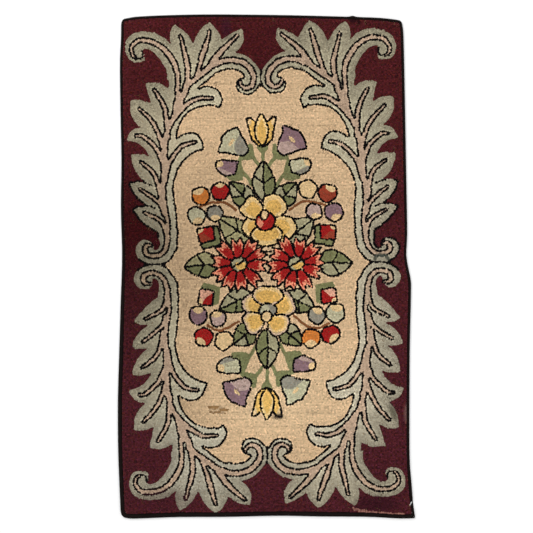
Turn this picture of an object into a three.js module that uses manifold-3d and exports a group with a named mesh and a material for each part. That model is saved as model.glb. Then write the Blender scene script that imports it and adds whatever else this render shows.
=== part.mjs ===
// A hooked rug lying flat: a field of looped wool pile on its foundation cloth, and the dark tape that binds
// its edge all round. Millimetres, +Z up. The origin is on the floor under the middle of the rug, +Y points
// to its top edge and +X to its right.
import * as THREE from "three";
import { mergeVertices } from "three/addons/utils/BufferGeometryUtils.js";
import Module from "manifold-3d";

// Driving dimensions
const RUG_WIDTH = 893;
const RUG_LENGTH = 1514;
const FIELD_THICKNESS = 9; // foundation cloth and pile together
const FIELD_SHOULDER = 2; // rounding of the field's rim
const FOUNDATION_THICKNESS = 2;
const BINDING_HEIGHT = 7;
const BINDING_ROUNDING = 2.2;
const PIECE_GAP = 0.3; // between the field and the binding
const LEAST_CORNER_ROUND = 3;
const TAPE_END_GAP = 0.6; // where the tape's two ends meet at the pointed corner
const CURVE_SEGMENTS = 3; // chords for each station of a side

// The four sides, walked with the rug on the left hand. along: place on the side, from its middle.
// inset: how far the uneven edge lies inside the rug's full size. band: the binding's width there.
const SIDES = [
  {
    walk: new THREE.Vector2(1, 0), // bottom
    stations: [
      { along: -385, inset: 0, band: 15 },
      { along: -265, inset: 4.4, band: 15 },
      { along: -115, inset: 5, band: 15 },
      { along: 35, inset: 8.3, band: 14 },
      { along: 155, inset: 6.2, band: 15 },
      { along: 305, inset: 5, band: 14 },
      { along: 395, inset: 0.3, band: 13 },
    ],
  },
  {
    walk: new THREE.Vector2(0, 1), // right
    stations: [
      { along: -715, inset: 5.5, band: 10 },
      { along: -654, inset: 10.6, band: 10 },
      { along: -582, inset: 16.3, band: 9 },
      { along: -474, inset: 17.2, band: 9 },
      { along: -258, inset: 16.3, band: 9 },
      { along: -78, inset: 12.4, band: 9 },
      { along: -36, inset: 14, band: 9 },
      { along: 30, inset: 26.2, band: 8 },
      { along: 102, inset: 23.8, band: 8 },
      { along: 246, inset: 26.2, band: 8.5 },
      { along: 462, inset: 30.1, band: 8.5 },
      { along: 678, inset: 34.6, band: 8.5 },
    ],
  },
  {
    walk: new THREE.Vector2(-1, 0), // top
    stations: [
      { along: -335, inset: 10.1, band: 8.5 },
      { along: -215, inset: 6.2, band: 8.5 },
      { along: -95, inset: 2.9, band: 8.5 },
      { along: 25, inset: 1.1, band: 8.5 },
      { along: 175, inset: 0, band: 8.5 },
      { along: 295, inset: 2.3, band: 8.5 },
      { along: 385, inset: 6.5, band: 8.5 },
    ],
  },
  {
    walk: new THREE.Vector2(0, -1), // left
    stations: [
      { along: -678, inset: 9.1, band: 8.5 },
      { along: -606, inset: 6.1, band: 8.5 },
      { along: -462, inset: 7.9, band: 8.5 },
      { along: -318, inset: 10.6, band: 8.5 },
      { along: -174, inset: 9.1, band: 9 },
      { along: -30, inset: 12.7, band: 9.5 },
      { along: 114, inset: 8.2, band: 11.5 },
      { along: 258, inset: 4, band: 13 },
      { along: 402, inset: 0, band: 13 },
      { along: 546, inset: 0.7, band: 13 },
      { along: 654, inset: 4.6, band: 13 },
    ],
  },
];

// The corner at the end of each side: three are turned round, and the one where the tape ends is pointed.
const CORNERS = [
  { x: 446.5, y: -756, round: 3 }, // bottom right
  { x: 408.5, y: 741, round: 18 }, // top right
  { x: -436.5, y: 745.5, round: 18 }, // top left
  { x: -438.5, y: -756.5, round: 24 }, // bottom left
];

// Where the loops are worn away down to the foundation: two short hollows, end to end.
const WORN_HOLLOWS = [
  { x: -156, y: -423.5, length: 46, breadth: 9 },
  { x: -127, y: -430, length: 20, breadth: 9 },
];

// A short slit where the binding has come away from the field, near the pointed corner.
const SLIT = { x: 433.8, y: -711.8, length: 13.5, breadth: 4, lean: -0.55 };

const wasm = await Module();
wasm.setup();

function solidOf(geometry) {
  const bare = geometry.index ? geometry.toNonIndexed() : geometry.clone();
  bare.deleteAttribute("normal");
  bare.deleteAttribute("uv");
  const merged = mergeVertices(bare);
  const vertProperties = merged.attributes.position.array;
  const triVerts = new Uint32Array(merged.index.array);
  return new wasm.Manifold(new wasm.Mesh({ numProp: 3, vertProperties, triVerts }));
}

function cut(geometry, cutters) {
  const solid = cutters.reduce((left, cutter) => left.subtract(solidOf(cutter)), solidOf(geometry));
  const mesh = solid.getMesh();
  const left = new THREE.BufferGeometry();
  left.setAttribute("position", new THREE.BufferAttribute(mesh.vertProperties, 3));
  left.setIndex(new THREE.BufferAttribute(mesh.triVerts, 1));
  left.computeVertexNormals();
  return left;
}

function inward(side) {
  return new THREE.Vector2(-side.walk.y, side.walk.x);
}

// The point of one station, moved in by a share of the binding's width and a clearance.
function stationPoint(side, row, bandShare, clearance) {
  const reach = side.walk.x === 0 ? RUG_WIDTH / 2 : RUG_LENGTH / 2;
  const depth = row.inset + bandShare * row.band + clearance - reach;
  return side.walk.clone().multiplyScalar(row.along).addScaledVector(inward(side), depth);
}

// A corner with the ends of its rounding, moved in by both sides' bands.
function cornerTurn(index, bandShare, clearance) {
  const { x, y, round } = CORNERS[index];
  const side = SIDES[index];
  const next = SIDES[(index + 1) % SIDES.length];
  const sideDepth = bandShare * side.stations.at(-1).band + clearance;
  const nextDepth = bandShare * next.stations[0].band + clearance;
  const tip = new THREE.Vector2(x, y);
  tip.addScaledVector(inward(side), sideDepth).addScaledVector(inward(next), nextDepth);
  const innerRound = Math.max(round - Math.max(sideDepth, nextDepth), LEAST_CORNER_ROUND);
  const start = tip.clone().addScaledVector(side.walk, -innerRound);
  const end = tip.clone().addScaledVector(next.walk, innerRound);
  return { start, tip, end };
}

// The rug's outline: a smooth curve along each side, and a turn at each corner. A band share of 0 is the
// binding's outer edge and 1 its inner edge.
function edgeOutline(ShapeKind, bandShare, clearance) {
  const outline = new ShapeKind();
  const turns = CORNERS.map((_, index) => cornerTurn(index, bandShare, clearance));
  const first = turns.at(-1).end;
  outline.moveTo(first.x, first.y);
  SIDES.forEach((side, index) => {
    const { start, tip, end } = turns[index];
    const along = side.stations.map((row) => stationPoint(side, row, bandShare, clearance));
    outline.splineThru([...along, start]);
    outline.quadraticCurveTo(tip.x, tip.y, end.x, end.y);
  });
  return outline;
}

// A flat slab of an outline, standing on the floor, with its rims rounded inside the outline.
function slab(outline, height, rounding, segments) {
  const settings = {
    depth: height - 2 * rounding,
    curveSegments: CURVE_SEGMENTS,
    bevelEnabled: true,
    bevelThickness: rounding,
    bevelSize: rounding,
    bevelOffset: -rounding,
    bevelSegments: segments,
  };
  return new THREE.ExtrudeGeometry(outline, settings).translate(0, 0, rounding);
}

function wornHollow({ x, y, length, breadth }) {
  const depth = FIELD_THICKNESS - FOUNDATION_THICKNESS;
  const hollow = new THREE.SphereGeometry(1, 24, 12);
  return hollow.scale(length / 2, breadth / 2, depth).translate(x, y, FIELD_THICKNESS);
}

// A straight slot with round ends, right through the rug.
function slitCutter({ x, y, length, breadth, lean }) {
  const reach = (length - breadth) / 2;
  const outline = new THREE.Shape();
  outline.absarc(0, reach, breadth / 2, 0, Math.PI);
  outline.absarc(0, -reach, breadth / 2, Math.PI, 2 * Math.PI);
  const settings = { depth: 3 * FIELD_THICKNESS, bevelEnabled: false, curveSegments: 6 };
  const slot = new THREE.ExtrudeGeometry(outline, settings);
  return slot.translate(0, 0, -FIELD_THICKNESS).rotateZ(lean).translate(x, y, 0);
}

// The thin mitre between the two ends of the tape, from the pointed corner's outer tip to its inner one.
function tapeEndCutter() {
  const outer = cornerTurn(0, 0, 0).tip;
  const across = cornerTurn(0, 1, 0).tip.sub(outer);
  const slice = new THREE.BoxGeometry(4 * across.length(), TAPE_END_GAP, 4 * BINDING_HEIGHT);
  const middle = outer.clone().addScaledVector(across, 0.5);
  return slice.rotateZ(across.angle()).translate(middle.x, middle.y, 0);
}

const woolPile = new THREE.MeshStandardMaterial({ color: 0x7a4a40, roughness: 0.95, metalness: 0 });
const darkTape = new THREE.MeshStandardMaterial({ color: 0x1c1716, roughness: 0.85, metalness: 0 });

function rugField() {
  const outline = edgeOutline(THREE.Shape, 1, PIECE_GAP);
  const field = slab(outline, FIELD_THICKNESS, FIELD_SHOULDER, 2);
  const cutters = [...WORN_HOLLOWS.map(wornHollow), slitCutter(SLIT)];
  const mesh = new THREE.Mesh(cut(field, cutters), woolPile);
  mesh.name = "rug_field";
  return mesh;
}

function edgeBinding() {
  const ring = edgeOutline(THREE.Shape, 0, 0);
  ring.holes.push(edgeOutline(THREE.Path, 1, 0));
  const band = slab(ring, BINDING_HEIGHT, BINDING_ROUNDING, 3);
  const mesh = new THREE.Mesh(cut(band, [slitCutter(SLIT), tapeEndCutter()]), darkTape);
  mesh.name = "edge_binding";
  return mesh;
}

const rug = new THREE.Group();
rug.add(rugField(), edgeBinding());

export default rug;
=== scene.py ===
import math

import bpy
import numpy as np
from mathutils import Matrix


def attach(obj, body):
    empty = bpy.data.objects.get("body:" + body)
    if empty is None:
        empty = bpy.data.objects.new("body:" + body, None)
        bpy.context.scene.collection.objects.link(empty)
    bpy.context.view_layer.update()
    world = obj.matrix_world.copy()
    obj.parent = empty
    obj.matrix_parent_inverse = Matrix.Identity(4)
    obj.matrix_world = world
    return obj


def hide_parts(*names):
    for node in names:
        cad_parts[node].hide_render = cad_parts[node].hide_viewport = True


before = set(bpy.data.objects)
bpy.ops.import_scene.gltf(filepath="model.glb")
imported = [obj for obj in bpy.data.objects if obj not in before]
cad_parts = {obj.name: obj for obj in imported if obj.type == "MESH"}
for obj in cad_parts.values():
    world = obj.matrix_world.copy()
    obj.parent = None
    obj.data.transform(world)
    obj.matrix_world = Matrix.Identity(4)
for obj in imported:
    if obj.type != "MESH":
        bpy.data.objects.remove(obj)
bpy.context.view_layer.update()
print("frame loaded:", sorted(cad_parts))

cell = 1.0  # mm, the grid that the pattern is worked out on
gridSize = (1530, 910)  # rows and columns of that grid
rugMiddle = (gridSize[1] / 2, gridSize[0] / 2)

pattern = {
    "unit": 3.0,  # mm, the squares that the pattern is drawn on
    "lean": 0.011,  # how much higher the right side was drawn
    "lowerStretch": 1.02,  # the lower half came out a little longer
    "rise": 2.0,  # the crosswise centre line, above the rug's middle
    "driftAt": [-246, -191, -126, -80, -13, 16, 55, 114, 184, 244],
    "drift": [1, 0.5, -0.4, 0.6, 1, 0.6, -1.4, -3.9, -5.4, -7],
    "liftAt": [0, 25, 45, 70, 100, 120, 140, 165, 180, 195, 215, 232, 250],
    "lift": [0, 0.5, 2, 3, 4, 3.5, 3, 4.5, 3.5, 2, 1.5, 2.5, 1],  # the lower half's outer leaves, set higher
    "lowerSpread": 0.02,  # and that half is a little wider
    "rollLift": 1.0,  # the rolls at the sides lie a little higher
    "rollSpread": 0.011,  # and the lower ones further out
    "topLiftAt": [-115, -90, -62, -35, 20, 52, 85, 110],
    "topLift": [1.7, 1, -0.3, 0.3, 2.2, 0.3, 2.8, 2.5],  # the upmost leaves lie higher, more so at the right
    "footLiftAt": [-64, -34, -10, 22, 50, 80, 108],
    "footLift": [0, -2.8, 0, 0, 3.2, 3.2, 0.6],  # and so do the lowest ones at the right
    "pinchAt": [125, 140, 160, 175],
    "pinch": [0, 2.5, 2.5, 0],  # one pair of lower leaves is shorter
    "wobble": 0.2,  # how unsteady the hand was, in squares
}
gridScale = pattern["unit"] / cell


def shift(name, at):  # one of the pattern's tables of shifts, read at a place
    return np.interp(at, pattern[name + "At"], pattern[name])


def ramp(value, start, end):  # from 0 at the start to 1 at the end
    return np.clip((value - start) / (end - start), 0, 1)


def onRug(points):  # pattern squares to grid cells, drawn by hand
    p = np.asarray(points, float).reshape(-1, 2)
    u, v = p[:, 0], p[:, 1]
    aside = np.abs(u)
    x = u + shift("drift", v)
    x = x + u * pattern["lowerSpread"] * ramp(-v, 40, 150)
    y = np.where(v < 0, v * pattern["lowerStretch"], v) + pattern["lean"] * u + pattern["rise"]
    y = y + shift("lift", -v) * ramp(aside, 88, 110)
    atRoll = ramp(aside, 90, 102) * ramp(np.abs(v), 45, 30)
    x = x + u * pattern["rollSpread"] * atRoll * ramp(-v, 0, 6)
    y = y + pattern["rollLift"] * atRoll
    y = y + shift("topLift", u) * ramp(v, 150, 235)
    y = y + shift("footLift", u) * ramp(-v, 195, 230)
    x = x - np.sign(u) * shift("pinch", -v) * ramp(aside, 105, 125)
    x = x + pattern["wobble"] * (2 * np.sin(v * 0.13 + u * 0.05) + np.sin(v * 0.63 - u * 0.3))
    y = y + pattern["wobble"] * (2 * np.sin(u * 0.11 - v * 0.05 + 2) + np.sin(u * 0.57 + v * 0.4))
    return np.stack([x * gridScale + rugMiddle[0], y * gridScale + rugMiddle[1]], 1)


def smoothPath(points, closed=False, step=0.3):  # a curve through the points, evenly walked
    p = np.asarray(points, float)
    if closed:
        ring = np.vstack([p[-1:], p, p[:2]])
    else:
        ring = np.vstack([2 * p[:1] - p[1:2], p, 2 * p[-1:] - p[-2:-1]])
    bits = []
    for a, b, c, d in zip(ring[:-3], ring[1:-2], ring[2:-1], ring[3:]):
        t = np.linspace(0, 1, max(2, int(np.linalg.norm((c - b)[:2]) / step)), endpoint=False)[:, None]
        bend = (2 * a - 5 * b + 4 * c - d) * t ** 2 + (3 * b - a - 3 * c + d) * t ** 3
        bits.append(0.5 * (2 * b + (c - a) * t + bend))
    if not closed:
        bits.append(ring[-2:-1])
    return np.vstack(bits)


def insideCells(p):  # the cells inside a closed outline of cells, by counting crossings
    mask = np.zeros(gridSize, bool)
    low = np.maximum(np.floor(p.min(0)).astype(int), 0)
    high = np.minimum(np.ceil(p.max(0)).astype(int) + 1, (gridSize[1], gridSize[0]))
    xs = np.arange(low[0], high[0]) + 0.5
    ys = np.arange(low[1], high[1]) + 0.5
    inside = np.zeros((len(ys), len(xs)), bool)
    for (xa, ya), (xb, yb) in zip(p, np.roll(p, -1, 0)):
        if ya != yb:
            rows = np.nonzero((ys > min(ya, yb)) & (ys <= max(ya, yb)))[0]
            at = xa + (ys[rows] - ya) * (xb - xa) / (yb - ya)
            inside[rows] ^= xs[None] < at[:, None]
    mask[low[1]:high[1], low[0]:high[0]] = inside
    return mask


def shapeMask(outline):
    return insideCells(onRug(outline))


def bandMask(path, mask=None):  # the cells that a brush covers: u, v and its half width
    mask = np.zeros(gridSize, bool) if mask is None else mask
    for (x, y), r in zip(onRug(path[:, :2]), path[:, 2] * gridScale):
        x0, x1 = max(int(x - r), 0), min(int(x + r) + 2, gridSize[1])
        y0, y1 = max(int(y - r), 0), min(int(y + r) + 2, gridSize[0])
        dx = np.arange(x0, x1)[None] + 0.5 - x
        dy = np.arange(y0, y1)[:, None] + 0.5 - y
        mask[y0:y1, x0:x1] |= dx * dx + dy * dy <= r * r
    return mask


def grown(mask, steps):  # a mask with so many rings of cells added
    for _ in range(steps):
        wider = mask.copy()
        wider[1:] |= mask[:-1]
        wider[:-1] |= mask[1:]
        wider[:, 1:] |= mask[:, :-1]
        wider[:, :-1] |= mask[:, 1:]
        mask = wider
    return mask


def mended(mask, steps):  # a mask with its small holes and cracks filled
    return ~grown(~grown(mask, steps), steps)


def soft(field, width):  # a running mean over a square, taken twice
    for _ in range(2):
        for axis in (0, 1):
            edge = [(width + 1, width) if a == axis else (0, 0) for a in (0, 1)]
            total = np.cumsum(np.pad(field, edge, mode="edge"), axis=axis)
            size = field.shape[axis]
            ahead = np.take(total, range(2 * width + 1, 2 * width + 1 + size), axis=axis)
            field = (ahead - np.take(total, range(size), axis=axis)) / (2 * width + 1)
    return field


def rim(mask):  # the cells of a mask that touch what is outside it
    return mask & grown(~mask, 1)


dyeColours = {  # as seen, 0 to 255
    "burgundy": (75, 25, 28), "cream": (210, 179, 141), "sage": (167, 158, 133),
    "rose": (184, 158, 134), "black": (7, 5, 6), "gold": (216, 173, 96), "straw": (222, 190, 132),
    "red": (156, 31, 29), "pink": (220, 139, 108), "orange": (200, 120, 54), "green": (119, 120, 81),
    "paleGreen": (159, 152, 120), "lilac": (178, 152, 141), "plum": (134, 105, 110),
    "slate": (140, 134, 119), "mint": (184, 177, 146), "ivory": (217, 186, 138), "brown": (122, 76, 46),
    "rust": (146, 61, 42), "olive": (160, 153, 112), "ash": (196, 168, 142), "blush": (220, 166, 140),
}
dyeNumber = {name: number for number, name in enumerate(dyeColours)}
ground = np.zeros(gridSize, np.uint8)  # the dye of each cell
noLine = 255
lines = np.full(gridSize, noLine, np.uint8)  # the dye of a hooked line through a cell
lineStep = 0.15  # squares, from point to point of a line


def paint(mask, dye):
    ground[mask] = dyeNumber[dye]
    lines[mask] = noLine


def distances(path):  # how far along a path each of its points lies
    return np.concatenate([[0], np.cumsum(np.linalg.norm(np.diff(path, axis=0), axis=1))])


def placesAlong(path, at):
    far = distances(path)
    return np.stack([np.interp(at, far, path[:, 0]), np.interp(at, far, path[:, 1])], 1)


def drawLine(path, within=None):
    p = onRug(smoothPath(path, step=lineStep)).astype(int)
    if within is not None:
        p = p[within[p[:, 1], p[:, 0]]]
    lines[p[:, 1], p[:, 0]] = dyeNumber["black"]


def drawEdge(outline):  # a line all round a closed outline
    ring = np.vstack([outline, outline[:1]])
    p = onRug(placesAlong(ring, np.arange(0, distances(ring)[-1], lineStep))).astype(int)
    lines[p[:, 1], p[:, 0]] = dyeNumber["black"]


def paintShape(outline, dye, edged=True):
    mask = shapeMask(outline)
    paint(mask, dye)
    if edged:
        drawEdge(outline)
    return mask


# The scroll of one quarter. u and v are counted out from the centre lines, rib and leaf are half widths.
scrollStem = {
    "u": [
        115.2, 117.6, 120.2, 121.9, 122.5, 121.5, 118.4, 113.5, 108.5, 104.5, 101.2, 99.4, 98.8, 98.7,
        98, 99.3, 100.5, 100.5, 99.6, 98, 96.5, 94.5, 90, 85.5, 82, 76.5, 74.5, 68, 62, 55,
    ],
    "v": [
        19.1, 19.4, 18.9, 17, 14.3, 11.6, 9.4, 8.4, 9.3, 11.8, 16.2, 22, 28, 33, 43, 50,
        65, 80, 95, 115, 125, 135, 145, 155, 165, 173, 180, 185, 189.5, 195,
    ],
    "rib": [
        1.2, 1.9, 2.3, 2.6, 2.8, 2.7, 2.6, 2.6, 2.6, 2.6, 2.7, 2.9, 3, 2.9, 2.3, 2.6,
        2.5, 2.9, 3.3, 3.5, 3, 2.8, 2.6, 3.5, 4.8, 3.4, 3.6, 2.9, 3, 3.4,
    ],
    "leaf": [
        1.2, 1.9, 2.3, 2.6, 2.8, 2.7, 2.6, 2.6, 2.6, 2.6, 4, 7, 8.8, 9, 8.5, 8,
        8, 8, 8, 8, 8, 8, 8, 8, 9, 9, 9, 8.5, 8.5, 8.5,
    ],
}
# The rolled end of the stem at the rug's side: its outline, from the stem round the roll and back.
voluteEdge = {
    "u": [
        89.5, 88.9, 89.6, 92, 96, 100.5, 105.5, 112, 121, 126.5, 130, 131.8, 131.5, 129, 125.5, 121, 117,
        114.2, 113.4, 113.8, 112.8, 110.8, 108.4, 106.9, 107, 107.2,
    ],
    "v": [
        36, 28.5, 21, 13.6, 7.6, 2.7, 0.6, 0, 0.9, 4, 8, 13, 17.5, 21.8, 24, 24.7, 23.3, 20.8,
        18.8, 16.4, 14.4, 14.2, 15.8, 20, 26, 33,
    ],
}
centreVolute = {
    "u": [55, 48.5, 36.5, 28.9, 23.8, 18.3, 13.7, 10.2, 8, 7, 7.2, 9, 11.8, 15.3, 18.6, 20.6, 21],
    "v": [
        195, 199.5, 203.5, 204, 203.2, 201.6, 198.6, 195, 191.2, 187, 183, 179.3, 177, 176.7, 178, 180.6,
        183.3,
    ],
    "rib": [3.4, 3.2, 3, 2.9, 3, 3.1, 3.1, 3.2, 3.1, 2.8, 2.9, 3, 2.5, 2.4, 2.1, 1.9, 1.6],
    "leaf": [8.5, 8.2, 8, 8, 6, 3.1, 3.1, 3.2, 3.1, 2.8, 2.9, 3, 2.5, 2.4, 2.1, 1.9, 1.6],
}
centreEdge = {  # the outline of that roll, where two of them meet
    "u": [
        40, 27, 16, 10, 5.8, 2, 0.2, 0.2, 1, 3, 6.2, 10, 15, 20, 23, 24.6, 24.3, 22.5, 19.5, 16.5, 16.1,
        17.4, 20.8, 25, 30, 40,
    ],
    "v": [
        210.5, 211, 208.5, 204.5, 200, 195.5, 191, 184, 180, 176.8, 173.3, 170.9, 170.5, 171.4, 173.8,
        177.5, 181.5, 184.4, 185.8, 186.2, 188, 190.6, 192.7, 194.4, 195.4, 195.3,
    ],
}
cornerCurl = {
    "u": [82.5, 83.5, 83.5, 84, 87.3, 91.5, 96, 102.2, 109.3, 116.3, 122, 126, 128.4, 129, 127.8, 124.8],
    "v": [166, 173, 181, 192, 203, 209.8, 215.7, 220.4, 223.3, 224, 222.9, 220.4, 217, 213, 209, 206.8],
    "rib": [3, 2.7, 2.4, 2.7, 3.1, 3.1, 2.8, 2.7, 2.6, 2.5, 2.4, 2.3, 2.1, 1.9, 1.7, 1.3],
    "leaf": [8, 8.5, 9, 9, 8.8, 7.5, 5, 3, 2.6, 2.5, 2.4, 2.3, 2.1, 1.9, 1.7, 1.3],
}
cornerEdge = {  # the outline of that curl, round its ball
    "u": [
        93.4, 94.3, 96.4, 99.5, 103, 107, 111, 115.8, 117.6, 116.8, 116.4, 117.5, 121.5, 127.5, 131.8,
        134.6, 135.6, 134.5, 131.5, 126.5, 119.5, 112, 105, 99, 93.5, 86,
    ],
    "v": [
        184, 192, 198, 203.5, 208.8, 213, 215.3, 215.8, 213.8, 211, 207.5, 204, 202.6, 202.8, 205.2,
        209.8, 215.5, 221, 226, 229.8, 232, 232.3, 231, 228.6, 225, 212,
    ],
}
ballLine = [(124, 206.2), (121, 206), (118.6, 207.4), (117.6, 210.4), (118.2, 213.4)]
notchLines = [[(122.5, 84), (117, 82.6), (111.8, 80.6)], [(119.5, 60.4), (115, 59.8), (110.3, 58)]]
# The scroll's leafy edges, from notch to tip to notch: how far the edge that arrives there bows out.
leafyEdge = {
    "u": [
        106, 107.5, 132.8, 113, 134.7, 113.5, 132.3, 113.3, 135.7, 121, 131.4, 110, 115.6, 93.5, 84, 63,
        39.3, 43.2, 47.5, 86.5, 58.5, 91, 89.4, 90,
    ],
    "v": [
        17, 32, 57, 58.7, 82, 80.7, 110.4, 108.7, 125, 138, 165.4, 160.7, 181.3, 176.5, 186, 177, 165.3,
        156, 159.4, 126.5, 116, 75, 33, 15,
    ],
    "bow": [
        0, 0, 2.5, 2.5, 4.1, 3.2, 4.7, 1.6, -4.5, 3.9, 4.3, 2.5, 0, 3.1, 0, 0, 7, 0.8, -0.5,
        -12, 11.6, -9.5, 0.8, 0.5,
    ],
}
topEdge = {
    "u": [88.8, 86, 67, 50, 38.6, 17.5, 23, 40, 58, 75, 84, 86],
    "v": [221.3, 240, 220, 242.5, 225, 234.7, 213.3, 203, 192, 182, 190, 205],
    "bow": [0, 2.6, 2.8, 3.4, 1.8, 1, 3.6, 0, 0, 0, 0, 0],
}
# The veins, from the rib out to each tip: u, v and half width.
scrollVeins = [
    [(76, 176, 2.6), (74.3, 185, 2.6), (73, 195, 2.8), (74, 206, 2.7), (79.5, 228.5, 1.6)],
    [(65, 189, 2), (61, 199, 2.3), (56.5, 214, 3), (50.3, 233.5, 1.6)],
    [(48, 202, 3.6), (39, 214, 3), (22, 228.5, 1.6)],
    [(88, 147, 2.6), (82.4, 154, 2.8), (75, 160.3, 2.7), (68, 165, 2.4), (61, 167.2, 2.2), (49, 166.5, 1.6)],
    [(98.4, 85, 2.4), (95.8, 98, 2.4), (92, 106, 2.4), (86, 113.3, 2.3), (79, 119.7, 2.2), (67, 122.8, 1.6)],
    [
        (94.2, 128, 2.6), (95.8, 143, 2.5), (96.6, 155, 2.5), (100, 164, 2.3), (103.3, 170, 2.1),
        (106.3, 175, 1.6),
    ],
    [(97.6, 113, 2.6), (101.2, 126, 2.5), (105.5, 136, 2.3), (111.8, 146, 2.2), (122.5, 157, 1.6)],
    [(99.3, 99, 2.6), (103, 111, 2.5), (106.5, 118, 2.3), (112.2, 124, 2.2), (119, 129, 2), (126, 130, 1.5)],
    [
        (103.4, 67, 2.3), (105.2, 79, 2.3), (107.4, 87, 2.3), (111, 94, 2.2), (116.3, 99, 2),
        (122.6, 103.6, 1.5),
    ],
    [(102, 51, 2.2), (104.2, 60, 2.2), (108, 65, 2.1), (114.6, 70.6, 2), (123.8, 77, 1.5)],
    [(99.5, 29, 2.3), (102.2, 39, 2.3), (106, 45, 2.1), (111.7, 49, 2), (121.4, 54, 1.5)],
]
quarters = [(-1, 1), (1, 1), (-1, -1), (1, -1)]
outlinedEdge = {  # where the scroll's outer edge has a black line, in squares
    "bothFrom": 27, "to": 85,  # above the crosswise centre line, and from that line on at the right
    "rollHeight": 6, "rollFrom": 95,  # where two rolls meet at the sides
}


def mirrored(path, quarter):
    p = np.array(path, float)
    p[:, 0] *= quarter[0]
    p[:, 1] *= quarter[1]
    return p


def spine(table, *columns, closed=False):
    return smoothPath(np.stack([table[c] for c in ("u", "v") + columns], 1), closed)


def bowedOutline(table):  # a closed outline of bowed edges
    p = np.stack([table["u"], table["v"]], 1).astype(float)
    t = np.linspace(0, 1, 16, endpoint=False)[:, None]
    bits = []
    for a, b, bow in zip(np.roll(p, 1, 0), p, table["bow"]):
        along = b - a
        out = np.array([along[1], -along[0]]) / np.linalg.norm(along)
        bits.append(a + along * t + out * bow * 4 * t * (1 - t))
    return np.vstack(bits)


def drawScroll():
    sage, rose, middle = (np.zeros(gridSize, bool) for _ in range(3))
    stem, volute, curl = (spine(table, "rib", "leaf") for table in (scrollStem, centreVolute, cornerCurl))
    low = np.argmin(abs(stem[:, 1] - 9.5) + (stem[:, 0] > 109) * 99)  # where the stem leaves the side's roll
    turn = np.argmin(np.hypot(volute[:, 0] - 8, volute[:, 1] - 190))  # where it nears the next one's
    corner = np.vstack([stem[low:, :2], volute[:turn, :2], [(0, 190), (0, 0), (110, 0)]])
    for quarter in quarters:
        sage |= shapeMask(mirrored(bowedOutline(leafyEdge), quarter))
        sage |= shapeMask(mirrored(bowedOutline(topEdge), quarter))
        for table in (voluteEdge, centreEdge, cornerEdge):
            outline = spine(table, closed=True)
            sage |= shapeMask(mirrored(outline, quarter))
        for path in (stem, volute, curl):
            bandMask(mirrored(path[:, [0, 1, 3]], quarter), sage)
            bandMask(mirrored(path[:, :3], quarter), rose)
        for vein in scrollVeins:
            bandMask(mirrored(smoothPath(vein), quarter), rose)
        middle |= shapeMask(mirrored(corner, quarter))
    rose = mended(rose, 1)
    sage = soft(mended(sage, 1).astype(float), 2) > 0.5
    paint(middle, "cream")
    paint(sage, "sage")
    paint(rose, "rose")
    lines[rim(rose)] = dyeNumber["black"]
    edge = rim(sage)
    lines[edge & middle] = dyeNumber["black"]
    rowV = ((np.arange(gridSize[0]) - rugMiddle[1]) / gridScale - pattern["rise"])[:, None]
    columnU = ((np.arange(gridSize[1]) - rugMiddle[0]) / gridScale)[None]
    both = outlinedEdge["bothFrom"]
    outlined = (rowV > both) & (rowV < outlinedEdge["to"]) | (rowV > 0) & (rowV <= both) & (columnU > 0)
    outlined |= (np.abs(rowV) < outlinedEdge["rollHeight"]) & (np.abs(columnU) > outlinedEdge["rollFrom"])
    lines[edge & outlined] = dyeNumber["black"]
    for quarter in quarters:
        drawLine(mirrored(ballLine, quarter))
        if quarter[1] > 0:
            for path in notchLines:
                drawLine(mirrored(path, quarter))
    for side in (-1, 1):
        drawLine([(side * 103, 0), (side * 112, 0), (side * 122, 0)])
        drawLine([(0, side * 178), (0, side * 186), (0, side * 194)])


drawScroll()
print("scroll drawn:", int((lines != noLine).sum()), "cells of line")


def turned(shape, place, direction, length=1.0, breadth=1.0):  # a motif drawn along +u, set down and turned
    p = np.asarray(shape, float) * (length, breadth)
    c, s = math.cos(direction), math.sin(direction)
    return np.stack([place[0] + p[:, 0] * c - p[:, 1] * s, place[1] + p[:, 0] * s + p[:, 1] * c], 1)


def placed(root, tip, wide=1.0):  # what sets a motif's shapes down from its root to its tip
    direction = math.atan2(tip[1] - root[1], tip[0] - root[0])
    length = math.hypot(tip[0] - root[0], tip[1] - root[1])
    return lambda shape: turned(shape, root, direction, length, wide)


def disc(place, wide, high=None, wobble=0.0):
    a = np.linspace(0, 2 * math.pi, 40, endpoint=False)
    r = 1 + wobble * np.sin(3 * a + place[0]) + wobble * np.cos(5 * a + place[1])
    return np.stack([place[0] + wide * r * np.cos(a), place[1] + (high or wide) * r * np.sin(a)], 1)


def bothSides(half):  # a shape from its upper half, mirrored across its axis
    return half + [(along, -across) for along, across in half[::-1] if across]


def rounded(shape):  # a closed outline without corners
    return smoothPath(shape, closed=True)


def patch(outline, dye, whole=True):  # one colour over part of a motif
    paint(shapeMask(outline) & whole, dye)


def drawStem(path, dye, *widths):
    p = smoothPath(path)
    wide = np.interp(np.linspace(0, 1, len(p)), np.linspace(0, 1, len(widths)), widths)
    paint(bandMask(np.column_stack([p, wide])), dye)


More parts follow.
